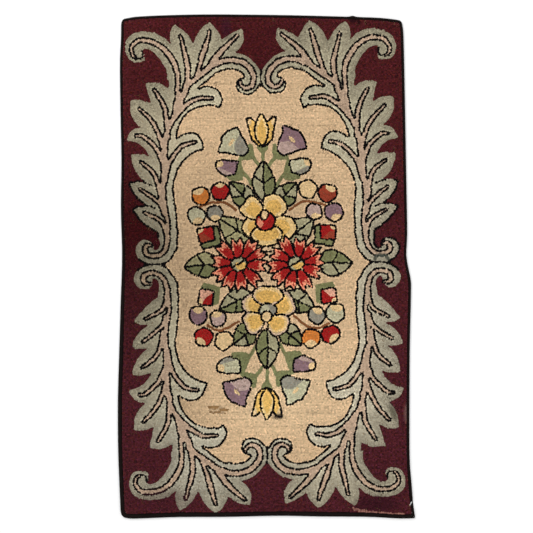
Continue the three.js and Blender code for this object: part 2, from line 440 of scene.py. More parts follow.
leafShape = bothSides([(0, 0), (0.12, 0.6), (0.4, 1), (0.7, 0.75), (1, 0)])
leaves = {  # root and tip, half widths, and tones: left near, far, right near, far
    "root": [
        (0, 64), (0, -63), (-12, 58), (12, 59), (-14, 25), (17, 19),
        (-16, -29), (17, -30), (-13, -60), (13, -61.5), (-47, 1), (49, 1),
    ],
    "tip": [
        (0.4, 103), (0.6, -102), (-34, 82), (32.5, 80.5), (-46, 46), (46.5, 45.5),
        (-47, -43), (47, -44), (-33, -78), (34.5, -78.5), (-83, -1), (85, 1),
    ],
    "wide": [
        (11.5, 11.5), (11.5, 11.5), (11, 11), (11, 11), (17, 11.5), (14, 12.5),
        (12, 12), (12, 12), (11.5, 11), (10.5, 10.5), (12.5, 12.5), (13, 13),
    ],
    "tones": [
        "ppgg", "ppgg", "gppg", "pggp", "oooo", "pppp",
        "ggpp", "ppgg", "gpgg", "pggg", "ggoo", "ggpp",
    ],
}
leafTones = {"p": "paleGreen", "g": "green", "o": "olive"}
leafHalf = [(-0.5, 0), (1.5, 0), (1.5, 2), (-0.5, 2)]
leafOuter = [(0.45, 0), (0.58, 0.6), (0.72, 1.4), (1.5, 1.5), (1.5, 0)]
leafRib = [(0, 0), (0.5, 0.3), (0.97, 0)]
leafVein = [(0.45, 0), (0.58, 0.6), (0.72, 1.2)]


def drawLeaf(root, tip, wide, tones):
    tones = [leafTones[tone] for tone in tones]
    plain, left, right = placed(root, tip), placed(root, tip, wide[0]), placed(root, tip, -wide[1])
    shape = [(along, across * (wide[0] if across > 0 else wide[1])) for along, across in leafShape]
    outline = rounded(plain(shape))
    whole = paintShape(outline, tones[0], False)
    for lay, near, far in ((left, tones[0], tones[1]), (right, tones[2], tones[3])):
        patch(lay(leafHalf), near, whole)
        patch(lay(leafOuter), far, whole)
    drawEdge(outline)
    drawLine(plain(leafRib), whole)
    for lay in (left, right):
        drawLine(lay(leafVein), whole)


berries = {  # place, radius, dye, and where its light patch lies
    "place": [
        (-63.5, 69.6), (-44.3, 74), (-68.8, 49.8), (-50, 51.6), (43.8, 75), (63.2, 71), (48.8, 52.8),
        (68.8, 51.4), (-69, -49), (-49, -52), (-63, -70), (-43, -74.5), (49, -50), (68, -48),
        (44, -72.5), (63, -69),
    ],
    "radius": [8.8, 9, 9, 8.2, 9.2, 9.2, 8.1, 9.3, 9, 8, 9, 9.2, 8.4, 9.5, 9.2, 9],
    "dye": [
        "orange", "red", "mint", "slate", "ivory", "rust", "lilac", "plum",
        "plum", "lilac", "red", "ivory", "slate", "mint", "orange", "red",
    ],
    "shine": [
        (-0.4, 0.8), (0, 1.1), (0.2, -0.9), (0, -0.9), (0, 0), (0.5, 0.8), (0.2, -0.9), (0.3, -0.9),
        (0, 0.9), (-0.2, 0.8), (-0.5, -0.8), (0, 0), (0.2, 0.8), (0.2, 0.8), (0, -0.9), (0.6, -0.7),
    ],
}


def drawBerry(place, radius, dye, shine):
    outline = disc(place, radius, wobble=0.03)
    whole = paintShape(outline, dye, False)
    if shine != (0, 0):
        spot = (place[0] + shine[0] * radius, place[1] + shine[1] * radius)
        patch(disc(spot, radius * 0.72), "ivory", whole)
    drawEdge(outline)


budShape = [
    (0, 0.55), (0.22, 0.78), (0.45, 1.02), (0.8, 0.72), (1, 0.3), (1.03, -0.1), (0.93, -0.38), (0.6, -0.58),
    (0.08, -0.66), (0, -0.5),
]
calyxShape = [
    (0.04, -0.8), (-0.12, -0.82), (-0.28, -0.2), (-0.42, 0.5), (-0.4, 1.1), (-0.05, 1.36), (0.3, 1.34),
    (0.34, 0.9), (0.2, 0),
]
buds = {  # calyx end and tip, half width on its full side, and its dyes
    "root": [(-26.5, 96.5), (27, 97), (-26, -99), (26.5, -98.5)],
    "tip": [(-46, 101.5), (47, 101.5), (-48.5, -101.5), (47.5, -99.5)],
    "wide": [10, -10, -10, 10],
    "dyes": [("plum", "lilac"), ("mint", "slate"), ("mint", "slate"), ("plum", "lilac")],
}
budShade = [(0.2, 0.55), (0.6, 0.42), (1.2, 0.1), (1.2, 1.4), (0.1, 1.4)]


def drawBud(root, tip, wide, pair):
    lay = placed(root, tip, wide)
    paintShape(rounded(lay(calyxShape)), "green", False)
    outline = rounded(lay(budShape))
    whole = paintShape(outline, pair[0], False)
    patch(lay(budShade), pair[1], whole)
    patch(lay(disc((0.92, -0.05), 0.24, 0.42)), "ivory", whole)
    drawEdge(outline)


cupShape = [
    (0, 0), (0.3, 0.66), (0.46, 1), (0.6, 0.9), (0.8, 0.5), (1, 0.08), (0.96, -0.1), (0.75, -0.5),
    (0.54, -0.95), (0.42, -1), (0.25, -0.6),
]
sepalShape = bothSides([(-0.36, 0), (0.2, 1.35), (0.46, 1.12), (0.12, 0)])
cups = {  # the square red buds: calyx corner and tip, half width, and dyes
    "root": [(-52, 24.5), (54, 25.2), (-53.3, -25.4), (53.7, -25)],
    "tip": [(-69, 36.5), (69, 37.8), (-69, -37.3), (69.5, -37)],
    "wide": [10, -10, 9.6, 9.6],
    "dyes": [("red", "rust"), ("red", "rust"), ("blush", "red"), ("red", "blush")],
}
cupShade = [(0, 0.1), (0.6, 0.06), (0.82, 0.3), (0.8, 1.3), (0.1, 1.3)]


def drawCup(root, tip, wide, pair):
    lay = placed(root, tip, wide)
    paintShape(lay(sepalShape), "green", edged=root[1] > 0)
    outline = lay(cupShape)
    whole = paintShape(outline, pair[0], False)
    patch(lay(cupShade), pair[1], whole)
    patch(lay(disc((0.97, -0.05), 0.24, 0.4)), "ivory", whole)
    drawEdge(outline)


bellShape = [
    (0, 0.15), (0.1, 0.32), (0.42, 0.56), (0.74, 0.76), (0.94, 1.02), (1.08, 0.76), (1.14, 0.46),
    (1.26, 0.2), (1.25, -0.12), (1.22, -0.4), (1.09, -0.76), (0.96, -1), (0.72, -0.8), (0.42, -0.58),
    (0.1, -0.34), (0, -0.15),
]
bells = {  # root and mouth, half width, its dyes: cup and shade
    "root": [(-16.5, 111.4), (17, 112), (-16.8, -112.6), (16.8, -111.4)],
    "mouth": [(-34.6, 125.8), (33.5, 127.8), (-32.6, -127.4), (32.4, -126.4)],
    "wide": [15.6, 16.2, 16, -16.2],
    "dyes": [("mint", "slate"), ("plum", "lilac"), ("plum", "lilac"), ("mint", "slate")],
}
bellCup = [(0.06, -0.5), (-0.16, 0), (0.06, 0.5)]
bellThroat = [(-0.2, 0.6), (0.35, 0.4), (0.66, 0.05), (0.7, -0.4), (0.66, -1.2), (-0.2, -1.2)]


def drawBell(root, mouth, wide, pair):
    lay = placed(root, mouth, wide)
    drawStem(lay(bellCup), "green", 2.2, 4.6, 2.2)
    outline = rounded(lay(bellShape))
    whole = paintShape(outline, pair[0], False)
    patch(rounded(lay(bellThroat)), pair[1], whole)
    patch(lay(disc((0.8, 0.02), 0.08, 0.27)), "ivory", whole)
    drawEdge(outline)


tulipOuter = bothSides([
    (0, 0), (0.06, 0.4), (0.25, 0.78), (0.55, 0.9), (0.9, 1.08), (0.88, 0.75), (0.75, 0.38),
])
tulipInner = bothSides([(0.04, 0), (0.25, 0.4), (0.55, 0.48), (0.8, 0.3), (1, 0)])
tulipCup = [(-0.02, -0.22), (-0.08, 0), (-0.02, 0.22)]
tulips = {"root": [(-0.2, 117.5), (0.6, -121)], "tip": [(-0.6, 150.5), (0.6, -152)], "wide": [13.8, 13.8]}


def drawTulip(root, tip, wide):
    lay = placed(root, tip, wide)
    drawStem(lay(tulipCup), "green", 2.6, 3.8, 2.6)
    outline = lay(tulipOuter)
    whole = paintShape(outline, "gold", False)
    for side in (-1, 1):
        patch(lay(disc((0.87, side * 0.96), 0.25, 0.3)), "ivory", whole)
    drawEdge(outline)
    paintShape(rounded(lay(tulipInner)), "straw")
    patch(rounded(lay(np.array(tulipInner) * (0.82, 0.66))), "gold")


def petal(place, angle, reach, spread, start=0.15):  # a broad rounded petal round a flower's middle
    t = np.linspace(-1, 1, 41)
    r = reach * (start + (1 - start) * (1 - np.abs(t) ** 3.5) ** 0.5) * (1 + 0.03 * np.sin(7 * t + angle))
    a = np.radians(angle + t * spread)
    return np.vstack([np.stack([place[0] + r * np.cos(a), place[1] + r * np.sin(a)], 1), [place]])


roses = {  # middle, its petals: angle, reach and half spread, then the full petal, and the eye's patches
    "place": [(0, 44), (0, -50)],
    "petals": [
        [(333, 31, 44), (210, 24.5, 45), (136, 28.5, 38), (58, 28.5, 43)],
        [(138, 28.5, 42), (38, 30.5, 46), (206, 24.8, 44), (322, 24.6, 46)],
    ],
    "full": [(0.5, 28.8, 15.8, 10.8), (0.4, -30.2, 15.6, 9.6)],
    "fullHeart": [1.5, -1.5],  # how far the heart of the full petal lies off its middle
    "rimDye": ["straw", "ash"],
    "eye": [
        [
            ((0, -0.5), 9.6, 9.6, "red", True), ((-5.5, -2), 3, 5, "pink", False),
            ((-1, 6), 4, 5, "ivory", True),
        ],
        [
            ((0.5, 5.5), 8.6, 6.8, "slate", True), ((-3, 7), 4.6, 4, "mint", False),
            ((-0.5, -0.5), 5.3, 5.3, "ivory", True),
        ],
    ],
}


def drawRose(place, petals, full, fullHeart, rimDye, eye):
    for angle, reach, spread in petals:
        paintShape(petal(place, angle, reach, spread), rimDye)
        patch(petal(place, angle, reach * 0.9, spread * 0.88), "straw")
        patch(petal(place, angle, reach * 0.8, spread * 0.72), "gold")
    x, y, wide, high = full
    paintShape(disc((x, y), wide, high, 0.03), rimDye)
    patch(disc((x, y), wide * 0.9, high * 0.86, 0.03), "straw")
    patch(disc((x, y + fullHeart), wide * 0.8, high * 0.66), "gold")
    for (across, up), wide, high, dye, edged in eye:
        paintShape(disc((place[0] + across, place[1] + up), wide, high), dye, edged)


daisyPetal = [
    (0.2, 0), (0.42, 0.64), (0.72, 0.95), (1.03, 0.8), (0.86, 0.08), (1.06, -0.66), (0.74, -0.95),
    (0.42, -0.64),
]
daisyHeart = [
    (0.15, 0), (0.4, 0.56), (0.62, 0.7), (0.88, 0.55), (0.68, 0.24), (0.78, 0), (0.66, -0.24), (0.9, -0.5),
    (0.6, -0.7), (0.4, -0.56),
]
daisies = {"place": [(-28, 1), (28.5, 1)], "twist": [0.45, 0.12]}  # middle, and turn in radians
daisy = {"petals": 10, "reach": 26.3, "petal": 6.6, "heart": 6.2}  # the last two are half widths


def drawDaisy(place, twist):
    x, y = place
    for n in range(daisy["petals"]):
        angle = twist + 2 * math.pi * n / daisy["petals"] + 0.07 * math.sin(5.1 * n)
        long = daisy["reach"] * (1 + 0.05 * math.sin(2.6 * n) + 0.06 * abs(math.cos(angle)))
        paintShape(turned(daisyPetal, place, angle, long, daisy["petal"]), "pink")
        patch(turned(daisyHeart, place, angle, long, daisy["heart"]), "red")
    paintShape(disc(place, 8, 7), "paleGreen")
    patch(disc((x + 2, y - 2), 5.5, 4), "gold")
    drawLine([(x - 6, y - 2.5), (x, y + 0.5), (x + 5, y + 3.5)])


stemPaths = [  # from the leaves out to each flower
    [(-0.4, 102), (-0.4, 119)], [(-3, 97), (-8, 104), (-15, 112)], [(4, 97), (9, 104), (16, 112)],
    [(-11, 78), (-17, 88), (-25, 95)], [(12, 78), (19, 88), (26, 96)],
    [(1, -103), (1, -124)], [(-3, -99), (-8, -107), (-17, -116)], [(5, -99), (10, -108), (16, -117)],
    [(-11, -78), (-17, -89), (-24, -99)], [(12, -78), (18, -89), (25, -99)],
]
twigPaths = [  # from the roses out to the berries
    [(-65, 58.5), (-55, 62), (-45, 62.5), (-37, 60.5), (-29, 54.5)],
    [(24, 54), (35, 61), (43, 63), (55, 61), (61, 58)],
    [(-60, -58), (-53, -63), (-45, -64), (-37, -61), (-28, -56)],
    [(26, -51), (35, -58), (43, -62), (53, -62), (61, -58)],
]
roseLine = [(-6, 17), (-6.3, 12.8), (0, 12.6), (7, 12.8), (7.3, 17)]
motifs = (
    (drawBell, bells), (drawBud, buds), (drawCup, cups), (drawLeaf, leaves), (drawBerry, berries),
    (drawTulip, tulips), (drawRose, roses),
)


def drawAll(drawMotif, table):
    for row in zip(*table.values()):
        drawMotif(*row)


def drawSpray():
    for path in stemPaths:
        drawStem(path, "green", 1.7, 1.8, 2.6)
    for path in twigPaths:
        drawStem(path, "brown", 1.3, 1.3)
    for drawMotif, table in motifs:
        drawAll(drawMotif, table)
    drawLine(roseLine)
    drawAll(drawDaisy, daisies)


drawSpray()
print("spray drawn:", int((lines != noLine).sum()), "cells of line in all")


def linear(rgb):  # a colour as seen, 0 to 255, to the light that it sends back
    c = np.asarray(rgb, float) / 255
    return np.where(c <= 0.04045, c / 12.92, ((c + 0.055) / 1.055) ** 2.4)


class Wire:  # one output of a shader node, for plain sums
    def __init__(self, shade, socket):
        self.shade = shade
        self.socket = socket

    def sum(self, kind, *values):
        return self.shade.node("ShaderNodeMath", {"operation": kind}, *values)

    def __add__(self, other):
        return self.sum("ADD", self, other)

    def __mul__(self, other):
        return self.sum("MULTIPLY", self, other)

    __radd__ = __add__
    __rmul__ = __mul__

    def sine(self):
        return self.sum("SINE", self)


class Shade:  # a material and its nodes
    def __init__(self, name, **constants):
        self.material = bpy.data.materials.new(name)
        self.material.use_nodes = True
        self.tree = self.material.node_tree
        self.surface = self.tree.nodes["Principled BSDF"]
        for socket, value in constants.items():
            self.surface.inputs[socket.replace("_", " ")].default_value = value

    def node(self, kind, settings, *values, output=0, **named):
        made = self.tree.nodes.new(kind)
        for name, value in settings.items():
            setattr(made, name, value)
        for key, value in list(enumerate(values)) + [(k.replace("_", " "), v) for k, v in named.items()]:
            if isinstance(value, Wire):
                self.tree.links.new(value.socket, made.inputs[key])
            else:
                made.inputs[key].default_value = value
        return Wire(self, made.outputs[output])

    def place(self):
        return self.node("ShaderNodeTexCoord", {}, output="Object")

    def attribute(self, name, output):
        return self.node("ShaderNodeAttribute", {"attribute_name": name}, output=output)

    def axis(self, where, name):
        return self.node("ShaderNodeSeparateXYZ", {}, where, output=name)

    def noise(self, where, scale, detail=2.0):
        return self.node("ShaderNodeTexNoise", {}, Vector=where, Scale=scale, Detail=detail)

    def scaled(self, colour, amount):
        return self.node("ShaderNodeVectorMath", {"operation": "SCALE"}, Vector=colour, Scale=amount)

    def bump(self, height, strength, distance):
        sizes = {"Strength": strength, "Distance": distance}
        return self.node("ShaderNodeBump", {}, Height=height, output="Normal", **sizes)

    def feed(self, **sockets):
        for name, wire in sockets.items():
            self.tree.links.new(wire.socket, self.surface.inputs[name.replace("_", " ")])
        return self.material


def arrayMesh(name, points, faces):  # a smooth piece from arrays of points and faces
    mesh = bpy.data.meshes.new(name)
    mesh.vertices.add(len(points))
    mesh.vertices.foreach_set("co", np.ascontiguousarray(points, np.float32).ravel())
    mesh.loops.add(faces.size)
    mesh.loops.foreach_set("vertex_index", np.ascontiguousarray(faces, np.int32).ravel())
    mesh.polygons.add(len(faces))
    mesh.polygons.foreach_set("loop_start", np.arange(len(faces), dtype=np.int32) * faces.shape[1])
    mesh.polygons.foreach_set("use_smooth", np.ones(len(faces), bool))
    mesh.update(calc_edges=True)
    mesh.validate()
    piece = bpy.data.objects.new(name, mesh)
    bpy.context.collection.objects.link(piece)
    return piece


def selectOnly(piece):
    bpy.ops.object.select_all(action="DESELECT")
    bpy.context.view_layer.objects.active = piece
    piece.select_set(True)


def pointsOf(mesh):
    points = np.empty(len(mesh.vertices) * 3)
    mesh.vertices.foreach_get("co", points)
    return points.reshape(-1, 3)


# The slit where the binding has come away, in mm and radians
slit = {"x": 433.8, "y": -711.8, "length": 13.5, "breadth": 4.0, "lean": -0.55}


def slitReach(x, y):  # how far a place is from the slit's edge, in mm
    c, s = math.cos(slit["lean"]), math.sin(slit["lean"])
    dx, dy = np.asarray(x) - slit["x"], np.asarray(y) - slit["y"]
    across, along = dx * c + dy * s, dy * c - dx * s
    half = (slit["length"] - slit["breadth"]) / 2
    return np.hypot(across, np.maximum(np.abs(along) - half, 0)) - slit["breadth"] / 2


rims = {
    "fieldHeight": 2.0, "bindingHeight": 2.2,  # mm, where the solids' rims are read
    "outside": (370, 700),  # mm from the middle, past the worn hollows
    "slitClear": 1.5,  # mm, nearer points are the slit's own
    "tapeWidth": 5,  # mm, the least between the field and the tape's outer edge
}


def pointsAt(name, height):  # a CAD node's points at one height, in mm, without the slit's
    points = pointsOf(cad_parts[name].data) * 1000
    taken = np.abs(points[:, 2] - height) < 0.05
    taken &= slitReach(points[:, 0], points[:, 1]) > rims["slitClear"]
    return points[taken, :2]


def rimLoop(points):  # rim points put in order round the rug's middle
    points = np.unique(np.round(points, 2), axis=0)
    turn = np.arctan2(points[:, 1] / 750, points[:, 0] / 440)
    return points[np.argsort(turn)]


fieldPoints = pointsAt("rug_field", rims["fieldHeight"])
fieldRim = rimLoop(fieldPoints[(np.abs(fieldPoints) > rims["outside"]).any(1)])
tapePoints = pointsAt("edge_binding", rims["bindingHeight"])
gaps = np.linalg.norm(tapePoints[:, None] - fieldRim[None], axis=2).min(1)
outerRim = rimLoop(tapePoints[gaps > rims["tapeWidth"]])
print("rims:", len(fieldRim), "field points,", len(outerRim), "outer points")


def walked(loop, step):  # a closed loop walked in even steps
    ring = np.vstack([loop, loop[:1]])
    length = distances(ring)[-1]
    return placesAlong(ring, np.linspace(0, length, int(length / step), endpoint=False))


# Where each loop of the pile goes
pile = {
    "seed": 11,
    "rowPitch": 4.2,  # mm from row to row
    "loopPitch": 4.9,  # mm from loop to loop along a row
    "height": 8.6,  # mm, of the loops' tops above the floor
    "root": 1.5,  # mm, of the loops' feet, in the foundation
    "echoRows": 4,  # rows that follow a motif's outline before the ground's level rows
    "unevenness": 0.45,  # mm, from loop to loop
    "unevenLimits": (-1, 0.4),  # mm, the most that a loop is lower or higher
    "sizeVaries": 0.06,  # a loop's breadth, as a share
    "headingVaries": 0.12,  # radians
    "spread": (0.66, 0.72),  # a loop's half breadth along and across its row, as shares of the pitch
    "waver": 0.22,  # mm, how far a loop strays from its place
    "rowSlack": 0.55,  # mm, how far off its row's line a loop may start
    "apart": (0.98, 0.82),  # how far loops keep apart along and across a row, as shares of the pitch
    "crowded": (0.80, 0.74),  # the same where the last gaps are filled
    "turns": 24,  # headings of a loop in half a turn
    "outline": {"wider": 1.5, "rise": 0.4, "waver": 0.5},  # the black loops: a share, and mm
}
random = np.random.default_rng(pile["seed"])
cellRow, cellColumn = np.mgrid[0:gridSize[0], 0:gridSize[1]]
cellX = (cellColumn + 0.5 - rugMiddle[0]) * cell  # mm, each cell's middle
cellY = (cellRow + 0.5 - rugMiddle[1]) * cell


def reachOf(mask, limit):  # how far each cell is from a mask, up to a limit
    down = np.where(mask, 0, limit).astype(np.float32)
    for row in range(1, len(down)):
        np.minimum(down[row], down[row - 1] + 1, out=down[row])
    for row in range(len(down) - 2, -1, -1):
        np.minimum(down[row], down[row + 1] + 1, out=down[row])
    squared = down ** 2
    best = squared.copy()
    for step in range(1, limit + 1):
        near = squared + step * step
        np.minimum(best[:, step:], near[:, :-step], out=best[:, step:])
        np.minimum(best[:, :-step], near[:, step:], out=best[:, :-step])
    return np.sqrt(np.minimum(best, limit * limit))


def rowsOfLoops(field, hooked):  # which cells lie on a row of loops, and how the row runs there
    pitch = pile["rowPitch"]
    change = np.zeros(gridSize, bool)
    change[:, 1:] |= ground[:, 1:] != ground[:, :-1]
    change[1:] |= ground[1:] != ground[:-1]
    change &= ~grown(hooked, 2)
    change |= grown(~field, 1) & field
    far = pile["echoRows"] * pitch
    limit = int(far) + 6
    reach = np.minimum(reachOf(hooked, limit), reachOf(change, limit) + pitch / 2)
    isOpen = reach > far

    def onRows(value):
        return np.abs(value - np.round(value / pitch) * pitch) < pile["rowSlack"]

    gy, gx = np.gradient(soft(reach, 2))
    xx, yy, xy = soft(gx * gx, 3), soft(gy * gy, 3), soft(gx * gy, 3)
    angle = 0.5 * np.arctan2(2 * xy, xx - yy) + math.pi / 2
    return np.where(isOpen, onRows(cellY), onRows(reach)), np.where(isOpen, 0, angle)


def keptFree(shares):  # the cells that a loop keeps free of others, for each heading
    along, across = pile["loopPitch"] * shares[0], pile["rowPitch"] * shares[1]
    span = int(max(along, across)) + 1
    dy, dx = np.mgrid[-span:span + 1, -span:span + 1]
    made = []
    for turn in range(pile["turns"]):
        a = math.pi * turn / pile["turns"]
        p, q = dx * math.cos(a) + dy * math.sin(a), dy * math.cos(a) - dx * math.sin(a)
        hit = (p / along) ** 2 + (q / across) ** 2 < 1
        made.append((dy[hit] * gridSize[1] + dx[hit]).tolist())
    return made


def layLoops():  # lines first, then the rows, then what gaps are left
    field = insideCells(fieldRim / cell + rugMiddle)
    hooked = (lines != noLine) & field
    deep = field & (reachOf(~field, 4) >= 2)
    onRow, angle = rowsOfLoops(field, hooked)
    turnOf = np.round(angle / math.pi * pile["turns"]).astype(int) % pile["turns"]
    turns = turnOf.ravel().tolist()
    wide, tight = keptFree(pile["apart"]), keptFree(pile["crowded"])
    taken = bytearray((gridSize[0] + 40) * gridSize[1])
    crowded = bytearray(len(taken))
    found = []
    for mask, used in ((hooked, taken), (hooked, crowded), (onRow, taken), (field, crowded)):
        for i in np.nonzero((mask & deep).ravel())[0].tolist():
            if used[i]:
                continue
            found.append(i)
            for offset in wide[turns[i]]:
                taken[i + offset] = 1
            for offset in tight[turns[i]]:
                crowded[i + offset] = 1
    place = np.stack([cellX, cellY], 2).reshape(-1, 2)[found]
    return place, angle.ravel()[found], np.where(hooked, lines, ground).ravel()[found]


wear = {
    "hollows": [(-161, -422, 38, 8.6), (-126, -430.4, 26, 8.6), (-149, -436, 12, 6)],  # mm, bare of loops
    "frayed": (-144, -432, 60, 26),  # the thinned loops round them
    "frayedLoss": 0.14,  # the share of its loops that is gone
    "frayedHeight": (0.7, 0.98),  # what is left of the others' height, as shares
    "frayedBreadth": 0.85,  # and of their breadth
    "slitClear": 3.4,  # mm, from the slit to the nearest loop
}


def withinOval(place, oval):
    x, y, length, breadth = oval
    return ((place[:, 0] - x) / length * 2) ** 2 + ((place[:, 1] - y) / breadth * 2) ** 2 < 1


def stillThere(place):  # which loops have not worn away
    gone = slitReach(place[:, 0], place[:, 1]) < wear["slitClear"]
    for oval in wear["hollows"]:
        gone |= withinOval(place, oval)
    gone |= withinOval(place, wear["frayed"]) & (random.random(len(place)) < wear["frayedLoss"])
    return ~gone


loopPlace, loopAngle, loopDye = layLoops()
kept = stillThere(loopPlace)
loopPlace, loopAngle, loopDye = loopPlace[kept], loopAngle[kept], loopDye[kept]
print("pile:", len(loopPlace), "loops")


def drifting(x, y, size, seed):  # a slow drift from -1 to 1 over the rug
    source = np.random.default_rng(seed)
    total = 0
    for _ in range(6):
        heading = source.uniform(0, 2 * math.pi)
        rate = 2 * math.pi / (size * source.uniform(0.6, 1.6))
        across = x * math.cos(heading) + y * math.sin(heading)
        total = total + np.sin(across * rate + source.uniform(0, 6.28))
    return total / 3.2


ageingAndShade = {
    "paleLeaves": 0.14,  # how much lighter the leaf tips in the light middle are
    "paleAcross": (300, 180),  # mm from the lengthwise centre line, where that starts and where it is full
    "paleWithin": 520,  # mm from the crosswise one
    "leafAt": [4, 12, 24, 46, 70],  # mm from the burgundy border
    "leafGain": [0.76, 0.87, 0.93, 1.08, 1.22],  # how light the scroll is there; the darkening near the border is painted shade
    "besideLines": 0.18,  # how much lighter the row beside each black line is
    "besideAt": (1, 5.8),  # mm from the line to that row
    "purpled": 0.3,  # how much bluer the burgundy is at the bottom than at the top
    "purple": (-0.1, 0.6, 1.3),  # what each colour gains there
    "purpledOver": 900,  # mm from the one to the other
}
shadeAndToneSpots = {  # darker and lighter places: middle and reach in mm, and each colour's loss; the darker left middle and the darker lower-left cream are painted shade
    "dye": [
        "all", "all", "all", "all", "cream", "rose", "sage", "sage", "burgundy", "cream", "sage", "rose",
        "burgundy", "sage", "sage", "sage",
    ],
    "place": [
        (-415, 30), (200, -330), (110, 640), (20, -390), (-290, -390), (-400, 80), (330, 30),
        (120, -640), (-415, 110), (130, 60), (130, 400), (320, -120), (-100, 640), (-330, 380),
        (250, -300), (-230, -600),
    ],
    "reach": [
        (320, 290), (330, 330), (120, 110), (190, 120), (120, 120), (160, 170), (180, 380), (150, 100),
        (200, 150), (150, 170), (120, 130), (130, 110), (150, 120), (130, 120), (300, 500), (230, 200),
    ],
    "loss": [
        (0.37, 0.37, 0.37), (-0.1, -0.1, -0.1), (0.12, 0.12, 0.12), (-0.07, -0.11, -0.13),
        (0.24, 0.24, 0.24), (0.15, 0.16, 0.25), (-0.11, -0.12, -0.12), (-0.08, -0.08, -0.08),
        (0.2, 0.58, 0.58), (0.11, 0.11, 0.12), (0.12, 0.11, 0.11), (0.08, 0.05, 0.07), (0.14, 0.3, 0.29),
        (-0.08, -0.05, -0.04), (0, 0, -0.08), (0, -0.03, -0.14),
    ],
}
stainsAndShadows = {  # stains, and the painted shadow of the binding's fold at the top edge (the two at 260 and 277 mm across): middle and reach in mm, turn in degrees, tint as seen, and strength
    "place": [
        (-121, 717), (330, -712), (380, -439), (36, -450), (416, -440), (345, 23), (327, 26), (362, 27),
        (344, 35), (12, 705), (-300, -700), (260, 738), (277, 735), (68, 711), (406, 18), (-437, 40),
    ],
    "reach": [
        (20, 40), (85, 30), (12, 34), (21, 11), (3.5, 40), (17, 10), (7.5, 14), (7.5, 13.5), (18, 6.5),
        (22, 22), (120, 40), (15, 10), (6, 10), (5, 5), (6, 5), (24, 170),
    ],
    "turn": [0, 0, 22, 5, 0, 0, -17, 24, 0, 0, 0, 0, 20, 0, 0, 0],
    "tint": [
        (52, 20, 36), (46, 14, 24), (84, 80, 64), (22, 17, 16), (120, 90, 84), (140, 134, 118),
        (64, 66, 58), (64, 67, 60), (66, 72, 64), (62, 18, 24), (66, 24, 34), (32, 6, 13), (24, 4, 8),
        (28, 6, 10), (36, 4, 8), (30, 5, 7),
    ],
    "strength": [0.55, 0.6, 0.75, 0.85, 0.6, 0.5, 0.9, 0.9, 0.9, 0.4, 0.35, 0.85, 0.85, 0.8, 0.8, 0.6],
}
rubbedLine = {  # the pale line rubbed beside the binding
    "x": [259.8, 280.8, 304.8, 340.8, 370.8, 394.8, 412.8, 432],
    "y": [-726.5, -731.5, -736, -740, -743, -743.5, -744.5, -746],
    "breadth": 8.5,
    "tint": (158, 110, 98),
    "strength": 0.95,
}


loopColumn, loopLine = (loopPlace / cell + rugMiddle).astype(int).T
borderReach = reachOf(ground == dyeNumber["burgundy"], 72)[loopLine, loopColumn]
lineReach = reachOf(lines == dyeNumber["black"], 8)[loopLine, loopColumn]


def agedAndShaded(colours, x, y):  # what years on the floor did to the dyes, together with painted shade in some places
    isBurgundy = loopDye == dyeNumber["burgundy"]
    isSage = loopDye == dyeNumber["sage"]
    # painted shade in part: the darker left middle and lower-left cream
    for dye, (atX, atY), (wide, high), loss in zip(*shadeAndToneSpots.values()):
        share = np.exp(-((x - atX) / wide) ** 2 - ((y - atY) / high) ** 2)
        share = share if dye == "all" else share * (loopDye == dyeNumber[dye])
        colours = colours * (1 - np.outer(share, loss))
    tip = ramp(np.abs(x), *ageingAndShade["paleAcross"]) * (np.abs(y) < ageingAndShade["paleWithin"]) * isSage
    # painted shade: the scroll darker near the burgundy border
    gain = np.interp(borderReach, ageingAndShade["leafAt"], ageingAndShade["leafGain"])
    colours = colours * ((1 + ageingAndShade["paleLeaves"] * tip) * np.where(isSage, gain, 1))[:, None]
    near, far = ageingAndShade["besideAt"]
    beside = (lineReach > near) & (lineReach < far) & ~isBurgundy & (loopDye != dyeNumber["black"])
    colours = colours * (1 + ageingAndShade["besideLines"] * beside)[:, None]
    down = np.clip(0.5 - y / ageingAndShade["purpledOver"], 0, 1) * isBurgundy * ageingAndShade["purpled"]
    colours = colours * (1 + np.outer(down, ageingAndShade["purple"]))
    # stains, and the binding fold's painted shadow
    for (atX, atY), (long, wide), turn, tint, strength in zip(*stainsAndShadows.values()):
        c, s = math.cos(math.radians(turn)), math.sin(math.radians(turn))
        along, across = ((x - atX) * c + (y - atY) * s) / long, ((y - atY) * c - (x - atX) * s) / wide
        share = strength * np.clip(2.2 - 2.2 * np.hypot(along, across), 0, 1)[:, None]
        colours = colours * (1 - share) + linear(tint) * share
    lineY = np.interp(x, rubbedLine["x"], rubbedLine["y"])
    onLine = (x > rubbedLine["x"][0]) & (np.abs(y - lineY) < rubbedLine["breadth"] / 2)
    share = (onLine * rubbedLine["strength"] * random.uniform(0.5, 1, len(x)))[:, None]
    return colours * (1 - share) + linear(rubbedLine["tint"]) * share


grain = {
    "wool": 0.13, "burgundy": 0.3, "hue": 0.25,  # how much one loop differs from its neighbours, as shares
    "lots": [(260, 0.04, 3), (60, 0.025, 5)],  # dye lots: their reach in mm, share and seed
    "skein": (140, 0.04),  # a length of yarn along a row in mm, and how much it differs
}


def ownShade(x, y):  # one number for each loop, even over each small patch
    each = random.normal(0, 1, len(x))
    square = ((x + 500) // 9).astype(int) * 400 + ((y + 900) // 9).astype(int)
    total, count = np.bincount(square, each), np.bincount(square)
    return each - (total / np.maximum(count, 1))[square]


